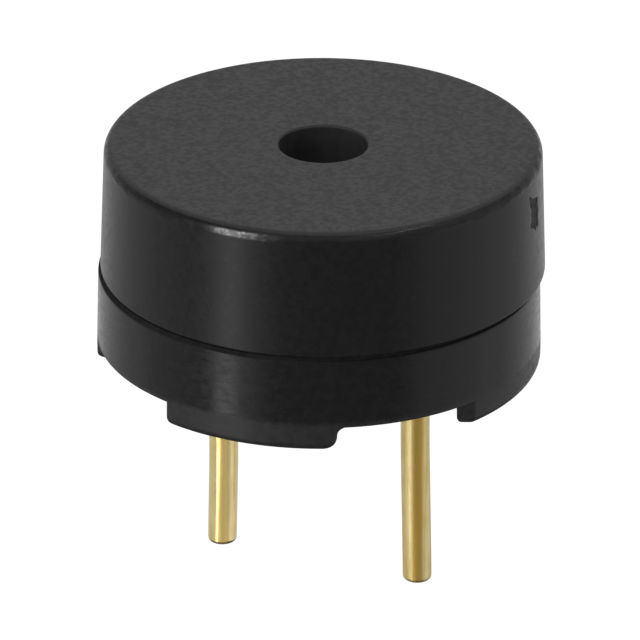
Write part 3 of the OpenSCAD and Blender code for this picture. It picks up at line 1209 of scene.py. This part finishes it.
@dataclass
class Base:
    """Moulded base with its spigot, ledge, floor and four feet; sizes in millimetres."""

    radius: float = 4.52
    wall_height: float = 1.54
    draft: float = 1.05
    upper_edge: float = 0.13
    lower_edge: float = 0.02
    floor: float = 0.55
    spigot_radius: float = 3.965
    rim_bore: float = 3.635
    ledge_drop: float = 0.2
    bore: float = 3.25
    foot_height: float = 0.53
    foot_inset: float = 2.8
    front_toe: float = 0.55
    side_toe: float = 0.36
    heel_reach: float = 0.38
    foot_corner: float = 0.1
    foot_edge: float = 0.2
    toe_edge: float = 0.19
    heel_bend: float = 0.32
    heel_fillet: float = 0.21
    recess_depth: float = 0.25
    recess_radius: float = 0.75
    hole_radius: float = 0.34
    pin_place: float = 2.0
    feet: int = 4
    foot_sink: float = 0.035
    film_inset: float = 0.06
    film_depth: float = 0.22
    film_rise: float = 0.011
    film_shift: float = -0.04
    film_skin: float = 0.002
    overshoot: float = 0.1
    columns: int = 320
    hole_columns: int = 48
    corner_steps: int = 12
    rim_steps: int = 60
    bend_steps: int = 14
    recess_steps: int = 24
    shaded_seam_facing: float = 0.35
    end_outward: float = 0.5
    end_upward: float = 0.3

    def underside_radius(self) -> float:
        """Radius of the wall's lower end."""
        return self.radius + self.wall_height * math.tan(math.radians(self.draft))

    def section(self) -> list[Point]:
        """Half section of the body without its feet.

        Returns:
            Points in millimetres.
        """
        under = self.foot_height
        parting = under + self.wall_height
        spigot_top = levels("base")[1]
        floor_top = under + self.floor
        return rounded_section([
            Corner(0.0, under),
            Corner(self.underside_radius(), under, self.lower_edge),
            Corner(self.radius, parting, self.upper_edge),
            Corner(self.spigot_radius, parting),
            Corner(self.spigot_radius, spigot_top),
            Corner(self.rim_bore, spigot_top),
            Corner(self.rim_bore, spigot_top - self.ledge_drop),
            Corner(self.bore, spigot_top - self.ledge_drop),
            Corner(self.bore, floor_top),
            Corner(0.0, floor_top),
        ])

    @staticmethod
    def drawn_in(rounding: float, height: float) -> float:
        """Amount by which a rounded lower edge lies back.

        Args:
            rounding: Radius of the edge.
            height: Height above the seat.

        Returns:
            The amount, in millimetres.
        """
        rest = max(rounding - height, 0.0)
        return rounding - math.sqrt(rounding ** 2 - rest ** 2)

    def foot_ring(self, toe: float, height: float, flare: float) -> list[Vector]:
        """Plan of a foot on the front side at one height.

        Args:
            toe: Width of the end face at the toe.
            height: Height above the seat.
            flare: Amount by which the heel runs out under the base.

        Returns:
            Points in plan, in millimetres.
        """
        rim = self.underside_radius()
        limit = rim - self.lower_edge
        outer = rim - self.drawn_in(self.foot_edge, height)
        toe_in = self.drawn_in(self.toe_edge, height)
        corner = self.foot_corner
        toe_x = corner + toe_in - math.sqrt(rim ** 2 - (self.foot_inset + toe) ** 2)
        heel_x = self.heel_reach - corner - self.drawn_in(self.heel_bend, height)
        toe_centre = Vector((toe_x, -math.sqrt((outer - corner) ** 2 - toe_x ** 2)))
        heel_centre = Vector((heel_x, -math.sqrt((outer - corner) ** 2 - heel_x ** 2)))
        toe_turn = math.atan2(toe_centre.y, toe_centre.x) % math.tau
        heel_turn = math.atan2(heel_centre.y, heel_centre.x) % math.tau
        inner = -self.foot_inset - toe_in
        points = [Vector((toe_x - corner, inner))]
        for index in range(self.corner_steps + 1):
            turn = math.pi + (toe_turn - math.pi) * index / self.corner_steps
            points.append(toe_centre + unit(turn) * corner)
        for index in range(1, self.rim_steps):
            turn = toe_turn + (heel_turn - toe_turn) * index / self.rim_steps
            points.append(unit(turn) * outer)
        for index in range(self.corner_steps + 1):
            turn = heel_turn + (math.tau - heel_turn) * index / self.corner_steps
            along = unit(turn)
            across = heel_centre.dot(along)
            room = -across + math.sqrt(across ** 2 + limit ** 2 - heel_centre.length_squared)
            points.append(heel_centre + along * max(corner, min(corner + flare, room)))
        points.append(Vector((heel_x + corner + flare, inner)))
        return points

    def foot(self, toe: float, turn: float) -> bmesh.types.BMesh:
        """One foot, with rounded lower edges, a wide bend and a fillet at its heel.

        Args:
            toe: Width of the end face at the toe.
            turn: Direction of the foot round the base, in radians.

        Returns:
            A closed mesh.
        """
        fillet, top = self.heel_fillet, self.foot_height
        quarter = [math.pi / 2 * index / self.bend_steps for index in range(self.bend_steps + 1)]
        plan = [(self.heel_bend * (1 - math.cos(a)), 0.0) for a in quarter]
        plan += [(top - fillet + fillet * math.sin(a), fillet * (1 - math.cos(a))) for a in quarter[1:-1]]
        plan.append((top + self.foot_sink, fillet))
        spin = Matrix.Rotation(turn, 3, "Z")
        return loft([
            [spin @ Vector((p.x, p.y, height)) * MM for p in self.foot_ring(toe, height, flare)]
            for height, flare in plan
        ])

    def film(self) -> bmesh.types.BMesh:
        """Film of glue that stands in the groove between the base and the cover, in the dull dark finish that
        paints the groove's shade.

        Returns:
            A closed mesh.
        """
        parting = self.foot_height + self.wall_height
        outer, inner = self.radius - self.film_inset, self.radius - self.film_depth
        low, high = parting - self.upper_edge, parting + self.film_rise
        section = [(inner, low), (outer, low), (outer, high), (inner, high)]
        return lathe(section, even_angles(self.columns), (0.0, self.film_shift))

    def recess(self) -> bmesh.types.BMesh:
        """Waste of the recess that is potted round the pins.

        Returns:
            A closed mesh.
        """
        half_turn = [math.pi * (index / self.recess_steps - 0.5) for index in range(self.recess_steps + 1)]
        right = [Vector((self.pin_place, 0.0)) + unit(turn) * self.recess_radius for turn in half_turn]
        plan = right + [-point for point in right]
        heights = (self.foot_height - self.overshoot, self.foot_height + self.recess_depth)
        return loft([[Vector((p.x, p.y, height)) * MM for p in plan] for height in heights])

    def pin_hole(self, place: float) -> bmesh.types.BMesh:
        """Waste of one pin's hole through the floor.

        Args:
            place: Place of the hole on the line through both pins.

        Returns:
            A closed mesh.
        """
        low = self.foot_height - self.overshoot
        high = self.foot_height + self.floor + self.overshoot
        section = [(0.0, low), (self.hole_radius, low), (self.hole_radius, high), (0.0, high)]
        return lathe(section, even_angles(self.hole_columns), (place, 0.0))

    def mould(self) -> bpy.types.Object:
        """Join the body, its feet and the film, and cut the recess and the holes.

        Returns:
            The piece without its finish.
        """
        piece = as_object(lathe(self.section(), even_angles(self.columns)), "base_moulding")
        for index in range(self.feet):
            toe = self.side_toe if index % 2 else self.front_toe
            foot = self.foot(toe, math.tau * index / self.feet)
            combine(piece, as_object(foot, "foot"), Joining.ADD)
        combine(piece, as_object(self.film(), "film"), Joining.ADD)
        combine(piece, as_object(self.recess(), "recess"), Joining.CUT)
        for place in (-self.pin_place, self.pin_place):
            combine(piece, as_object(self.pin_hole(place), "hole"), Joining.CUT)
        weld(piece)
        smooth(piece)
        return piece

    def region(self, face: bpy.types.MeshPolygon) -> BaseRegion:
        """Region that a face lies in.

        Args:
            face: Face of the finished mesh.

        Returns:
            The region.
        """
        plan = face.center.xy
        if face.center.z > (self.foot_height + self.wall_height - self.upper_edge) * MM:
            # The glue and the base's upper rounding take the dull dark finish: painted shade of the groove.
            from_film = (plan - Vector((0.0, self.film_shift * MM))).length
            in_groove = from_film < (self.radius - self.film_inset + self.film_skin) * MM
            if in_groove or face.normal.z > self.shaded_seam_facing:
                return BaseRegion.SEAM
        elif face.center.z < self.foot_height * MM:
            # End faces of the feet take the lighter finish: painted light on them.
            outward = abs(face.normal.xy.dot(plan.normalized()))
            if outward < self.end_outward and abs(face.normal.z) < self.end_upward:
                return BaseRegion.FOOT_END
        return BaseRegion.WALL

    def dress(self, piece: bpy.types.Object, finishes: Finishes) -> None:
        """Give each region of the base its finish.

        Args:
            piece: The moulded piece.
            finishes: The materials.
        """
        coats = {
            BaseRegion.WALL: finishes.base,
            BaseRegion.SEAM: finishes.seam,
            BaseRegion.FOOT_END: finishes.foot_end_painted_light,
        }
        clothe(piece, *(coats[region] for region in BaseRegion))
        for face in piece.data.polygons:
            face.material_index = self.region(face)

    def build(self, finishes: Finishes) -> bpy.types.Object:
        """Build and dress the base.

        Args:
            finishes: The materials.

        Returns:
            The piece.
        """
        piece = self.mould()
        self.dress(piece, finishes)
        return settle(piece, "base")


@dataclass
class Pin:
    """Headed brass pin, slightly bowed, with a swaged shank and a rounded tip; sizes in millimetres."""

    node: str
    # Height and sideways place of each bend, from the top down.
    bow: tuple[Point, ...]
    radius: float = 0.3
    shank_radius: float = 0.32
    shank_start: float = 0.06
    shank_end: float = 1.08
    shoulder: float = 0.015
    tip_radius: float = 0.1
    head_edge: float = 0.03
    row_pitch: float = 0.15
    columns: int = 72
    ease_span: float = 0.6
    ease_steps: int = 4

    def sideways(self, height: float) -> float:
        """Sideways place of the bowed wire at a height.

        Args:
            height: Height above the seat.

        Returns:
            Distance from the straight pin, along the line through both pins.
        """
        if height >= self.bow[0][0]:
            return self.bow[0][1]
        for (upper, start), (lower, end) in zip(self.bow, self.bow[1:]):
            if height >= lower:
                share = (upper - height) / (upper - lower)
                return start + (end - start) * share
        return self.bow[-1][1]

    def eased(self, height: float) -> float:
        """Sideways place with the bends eased over a length of wire.

        Args:
            height: Height above the seat.

        Returns:
            Distance from the straight pin.
        """
        steps = range(-self.ease_steps, self.ease_steps + 1)
        places = [self.sideways(height + self.ease_span * step / self.ease_steps) for step in steps]
        return sum(places) / len(places)

    def build(self, brass: bpy.types.Material) -> bpy.types.Object:
        """Build and dress the pin.

        Args:
            brass: Its finish.

        Returns:
            The piece.
        """
        tip, head_top = levels(self.node)
        head = reach(self.node)
        section = rounded_section([
            Corner(0.0, tip),
            Corner(self.radius, tip, self.tip_radius),
            Corner(self.radius, self.shank_start),
            Corner(self.shank_radius, self.shank_start + self.shoulder),
            Corner(self.shank_radius, self.shank_end),
            Corner(head, self.shank_end, self.head_edge),
            Corner(head, head_top, self.head_edge),
            Corner(0.0, head_top),
        ])
        count = round((self.shank_start - tip) / self.row_pitch)
        rows = [(self.radius, tip + (self.shank_start - tip) * row / count) for row in range(1, count)]
        start = next(index for index, (_, z) in enumerate(section) if z > rows[0][1])
        section[start:start] = rows
        mesh = lathe(section, even_angles(self.columns), middle(self.node))
        for vertex in mesh.verts:
            vertex.co.x += self.eased(vertex.co.z / MM) * MM
        piece = as_object(mesh, self.node + "_wire")
        clothe(piece, brass)
        return settle(piece, self.node)


@dataclass
class TurnedPiece:
    """Disc, ring or core of the drive, with its edges broken; sizes in millimetres."""

    node: str
    slot: Slot
    bore: float = 0.0
    edge: float = 0.02
    edge_steps: int = 5
    columns: int = 128

    def build(self, material: bpy.types.Material) -> bpy.types.Object:
        """Build and dress the piece.

        Args:
            material: Its finish.

        Returns:
            The piece.
        """
        low, high = levels(self.node)
        outer = reach(self.node)
        inner_edge = self.edge if self.bore else 0.0
        section = rounded_section([
            Corner(self.bore, low, inner_edge),
            Corner(outer, low, self.edge),
            Corner(outer, high, self.edge),
            Corner(self.bore, high, inner_edge),
        ], steps=self.edge_steps)
        mesh = lathe(section, even_angles(self.columns), middle(self.node))
        piece = as_object(mesh, self.node + "_turned")
        clothe(piece, material)
        return settle(piece, self.node)


@dataclass
class Core:
    """Core with its staked tenon; sizes in millimetres."""

    tenon_radius: float = 0.45
    tenon_height: float = 0.35
    edge: float = 0.03
    edge_steps: int = 5
    columns: int = 96

    def build(self, finishes: Finishes) -> bpy.types.Object:
        """Build and dress the core.

        Args:
            finishes: The materials.

        Returns:
            The piece.
        """
        low, high = levels("core")
        outer = reach("core")
        section = rounded_section([
            Corner(0.0, low),
            Corner(self.tenon_radius, low, self.edge),
            Corner(self.tenon_radius, low + self.tenon_height),
            Corner(outer, low + self.tenon_height, self.edge),
            Corner(outer, high, self.edge),
            Corner(0.0, high),
        ], steps=self.edge_steps)
        piece = as_object(lathe(section, even_angles(self.columns)), "core_post")
        clothe(piece, finishes.steel)
        return settle(piece, "core")


@dataclass
class Coil:
    """Winding of fine wire, with the turns of its outer faces; sizes in millimetres."""

    bore: float = 0.75
    wire: float = 0.08
    bulge_steps: int = 5
    columns: int = 128
    crease: float = 75.0

    def bulges(self, start: Vector, end: Vector) -> list[Point]:
        """Row of rounded turns along one straight side of the section.

        Args:
            start: First corner of the side.
            end: Second corner of the side.

        Returns:
            Points in millimetres, drawn in from the side by up to half a wire.
        """
        side = end - start
        count = round(side.length / self.wire)
        inward = Vector((-side.y, side.x)).normalized()
        points: list[Point] = []
        for turn in range(count):
            for step in range(self.bulge_steps):
                share = (step + 0.5) / self.bulge_steps
                sag = (1 - math.sin(math.pi * share)) * self.wire / 2
                points.append(tuple(start + side * (turn + share) / count + inward * sag))
        return points

    def build(self, finishes: Finishes) -> bpy.types.Object:
        """Build and dress the winding.

        Args:
            finishes: The materials.

        Returns:
            The piece.
        """
        low, high = levels("coil")
        outer = reach("coil")
        corners = [Vector(c) for c in ((self.bore, low), (outer, low), (outer, high), (self.bore, high))]
        section: list[Point] = []
        for here, there in zip(corners, corners[1:] + corners[:1]):
            section += self.bulges(here, there)
        piece = as_object(lathe(section, even_angles(self.columns)), "coil_winding", self.crease)
        clothe(piece, finishes.copper)
        return settle(piece, "coil")


@dataclass
class Solder:
    """Solder joint that draws up round the lead; sizes in millimetres."""

    node: str
    lead_radius: float = 0.05
    rim_height: float = 0.03
    steepness: float = 2.2
    steps: int = 10
    columns: int = 64
    crease: float = 60.0

    def build(self, finishes: Finishes) -> bpy.types.Object:
        """Build and dress the joint.

        Args:
            finishes: The materials.

        Returns:
            The piece.
        """
        low, high = levels(self.node)
        outer = reach(self.node)
        section = [(0.0, low), (outer, low)]
        for index in range(self.steps + 1):
            share = index / self.steps
            radius = outer + (self.lead_radius - outer) * share
            rise = (high - low - self.rim_height) * share ** self.steepness
            section.append((radius, low + self.rim_height + rise))
        section.append((0.0, high))
        mesh = lathe(section, even_angles(self.columns), middle(self.node))
        piece = as_object(mesh, self.node + "_joint", self.crease)
        clothe(piece, finishes.solder)
        return settle(piece, self.node)


def dress_node(node: str, material: bpy.types.Material) -> None:
    """Give a node of the frame that stays its finish.

    Args:
        node: Name of the node.
        material: Its finish.
    """
    clothe(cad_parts[node], material)
    LOG.info("%s keeps its solid, dressed in %s", node, material.name)


def direction(azimuth: float, elevation: float) -> Vector:
    """Direction from the object.

    Args:
        azimuth: Angle in degrees from the camera's side, positive to the right.
        elevation: Angle in degrees above the horizon.

    Returns:
        A unit vector.
    """
    turn, rise = math.radians(azimuth), math.radians(elevation)
    return Vector((math.sin(turn) * math.cos(rise), -math.cos(turn) * math.cos(rise), math.sin(rise)))


@dataclass(frozen=True)
class Stand:
    """Place of a card or a lamp round the object; lengths in millimetres, angles in degrees."""

    name: str
    azimuth: float
    elevation: float
    distance: float
    size: Point

    def set_up(self, item: bpy.types.Object, front: str) -> None:
        """Put a card or a lamp in its place, turned to the object and out of the camera's sight.

        Args:
            item: The card or lamp.
            front: Its own axis that looks at the object.
        """
        away = direction(self.azimuth, self.elevation)
        item.location = away * self.distance * MM
        item.rotation_mode = "QUATERNION"
        item.rotation_quaternion = (-away).to_track_quat(front, "Y")
        item.visible_camera = False


@dataclass(frozen=True)
class Card(Stand):
    """Grey card that only shows in reflections."""

    shade: float


@dataclass(frozen=True)
class Lamp(Stand):
    """Softbox, as bright as given where the surroundings are 1, mirrored in the pieces or not."""

    brightness: float
    mirrored: bool = True


@dataclass
class Studio:
    """Camera, white surroundings, floor, cards and lamps; lengths in millimetres, angles in degrees."""

    aim: Place = (0.021, 0.0, 0.804)
    elevation: float = 25.25
    distance: float = 225.6
    lens: float = 618.96
    sensor: float = 36.0
    roll: float = 0.235
    near_end: float = 10.0
    far_end: float = 10000.0
    surround: float = 0.52
    floor_level: float = -150.0
    floor_size: float = 6000.0
    floor_shade: float = 0.97
    card_core: float = 0.7
    cards: tuple[Card, ...] = (
        Card("front_card", 11.0, -12.0, 200.0, (330.0, 270.0), shade=0.46),
        Card("left_front_card", -79.0, -12.0, 200.0, (196.0, 200.0), shade=0.74),
        Card("left_upper_card", -100.0, 32.0, 200.0, (220.0, 260.0), shade=0.4),
        Card("left_card", -138.0, 5.0, 200.0, (350.0, 460.0), shade=0.76),
        Card("right_card", 138.0, 5.0, 200.0, (350.0, 460.0), shade=0.76),
        # Dark card below that only the pieces mirror: painted shade under the object, where a shadowed table
        # would be.
        Card("shade_below_card", 0.0, -90.0, 60.0, (170.0, 170.0), shade=0.12),
    )
    lamps: tuple[Lamp, ...] = (
        Lamp("strip_left", -47.0, -20.0, 60.0, (12.0, 72.0), brightness=3.0),
        Lamp("strip_left_upper", -49.0, 26.0, 60.0, (14.0, 38.0), brightness=3.0),
        Lamp("softbox_upper_left", -61.0, 58.0, 2200.0, (480.0, 640.0), brightness=38.0, mirrored=False),
        Lamp("softbox_upper_right", 62.0, 58.0, 2200.0, (260.0, 160.0), brightness=30.0),
    )

    def make_camera(self) -> None:
        """Set the camera at the photograph's angle."""
        data = bpy.data.cameras.new("camera")
        data.lens = self.lens
        data.sensor_width = self.sensor
        data.clip_start = self.near_end * MM
        data.clip_end = self.far_end * MM
        camera = bpy.data.objects.new("camera", data)
        back = direction(0.0, self.elevation)
        camera.location = (Vector(self.aim) + back * self.distance) * MM
        camera.rotation_mode = "QUATERNION"
        level = (-back).to_track_quat("-Z", "Y")
        camera.rotation_quaternion = level @ Quaternion((0.0, 0.0, 1.0), math.radians(self.roll))
        bpy.context.scene.collection.objects.link(camera)
        bpy.context.scene.camera = camera

    def make_world(self) -> None:
        """Surround the object with even white that lights it at about half the strength it is seen at."""
        world = bpy.data.worlds.new("white_surround")
        world.use_nodes = True
        world.node_tree.nodes.clear()
        sheet = Sheet(world.node_tree)
        path = sheet.add("LightPath").outputs
        seen = sheet.maths("MAXIMUM", path["Is Camera Ray"], path["Is Glossy Ray"])
        seen = sheet.maths("MAXIMUM", seen, path["Is Transmission Ray"])
        strength = sheet.between(seen, self.surround, 1.0)
        white = sheet.add("Background", ("Color", (1.0, 1.0, 1.0, 1.0)), ("Strength", strength))
        sheet.add("OutputWorld", ("Surface", white.outputs[0]))
        bpy.context.scene.world = world

    def panel(self, name: str, size: Point, shade: float, glows: bool) -> bpy.types.Object:
        """Plain card of the stage.

        Args:
            name: Name of the card.
            size: Width and height, in its own X and Y directions.
            shade: Grey of its face.
            glows: Whether the grey is its own glow, not lit by the lamps.

        Returns:
            The card, at the origin and facing up.
        """
        mesh = bmesh.new()
        bmesh.ops.create_grid(mesh, x_segments=1, y_segments=1, size=0.5 * MM)
        card = as_object(mesh, name)
        card.scale = (*size, 1.0)
        material = bpy.data.materials.new(name)
        material.use_nodes = True
        material.node_tree.nodes.clear()
        sheet = Sheet(material.node_tree)
        if glows:
            place = sheet.add("SeparateXYZ", (0, sheet.add("TexCoord").outputs["Object"])).outputs
            sideways, upwards = (sheet.maths("ABSOLUTE", place[index]) for index in range(2))
            off = sheet.maths("MAXIMUM", sideways, upwards)
            glow = sheet.spread(off, 0.5 * self.card_core * MM, 0.5 * MM, shade, 1.0)
            matte = sheet.add("Emission", ("Strength", glow))
        else:
            matte = sheet.add("BsdfDiffuse", ("Color", (shade, shade, shade, 1.0)))
        clear = sheet.add("BsdfTransparent")
        behind = sheet.add("NewGeometry").outputs["Backfacing"]
        mix = sheet.add("MixShader", (0, behind), (1, matte.outputs[0]), (2, clear.outputs[0]))
        sheet.add("OutputMaterial", ("Surface", mix.outputs[0]))
        card.data.materials.append(material)
        return card

    def make_floor(self) -> None:
        """Lay the pale floor, which is clear from below."""
        floor = self.panel("floor", (self.floor_size, self.floor_size), self.floor_shade, glows=False)
        floor.location = (0.0, 0.0, self.floor_level * MM)

    def make_card(self, card: Card) -> None:
        """Stand a card where the pieces mirror it.

        Args:
            card: Its place, size and grey.
        """
        panel = self.panel(card.name, card.size, card.shade, glows=True)
        card.set_up(panel, "Z")
        panel.visible_diffuse = False
        panel.visible_shadow = False

    def make_lamp(self, lamp: Lamp) -> None:
        """Hang a softbox that faces the object.

        Args:
            lamp: Its place, size and brightness.
        """
        data = bpy.data.lights.new(lamp.name, "AREA")
        data.shape = "RECTANGLE"
        data.size = lamp.size[0] * MM
        data.size_y = lamp.size[1] * MM
        data.energy = lamp.brightness * math.pi * data.size * data.size_y
        box = bpy.data.objects.new(lamp.name, data)
        lamp.set_up(box, "-Z")
        box.visible_glossy = lamp.mirrored
        bpy.context.scene.collection.objects.link(box)

    def build(self) -> None:
        """Set up the whole studio."""
        bpy.context.scene.view_settings.view_transform = "Standard"
        self.make_camera()
        self.make_world()
        self.make_floor()
        for card in self.cards:
            self.make_card(card)
        for lamp in self.lamps:
            self.make_lamp(lamp)
        LOG.info("studio set with %d cards and %d lamps", len(self.cards), len(self.lamps))


def main() -> None:
    """Build the studio, the materials and every piece in order."""
    logging.basicConfig(level=logging.INFO, format="%(name)s: %(message)s")
    Studio().build()
    finishes = Finishes.build()
    Cover().build(finishes)
    Base().build(finishes)
    Pin("pin_positive", bow=((-0.1, 0.0), (-1.57, -0.018), (-5.1, 0.06))).build(finishes.long_brass)
    Pin("pin_negative", bow=((-0.1, 0.0), (-2.1, 0.056), (-4.23, 0.017))).build(finishes.short_brass)
    TurnedPiece("diaphragm", Slot.STEEL, edge=0.01).build(finishes.steel)
    TurnedPiece("armature", Slot.STEEL, edge=0.03).build(finishes.steel)
    TurnedPiece("magnet", Slot.MAGNET, bore=2.12, edge=0.04).build(finishes.magnet)
    Core().build(finishes)
    Coil().build(finishes)
    for node in ("solder_positive", "solder_negative"):
        Solder(node).build(finishes)
    dress_node("yoke", finishes.steel)
    for node in ("lead_positive", "lead_negative"):
        dress_node(node, finishes.copper)
    dress_node("seal", finishes.potting)


if __name__ == "__main__":
    main()
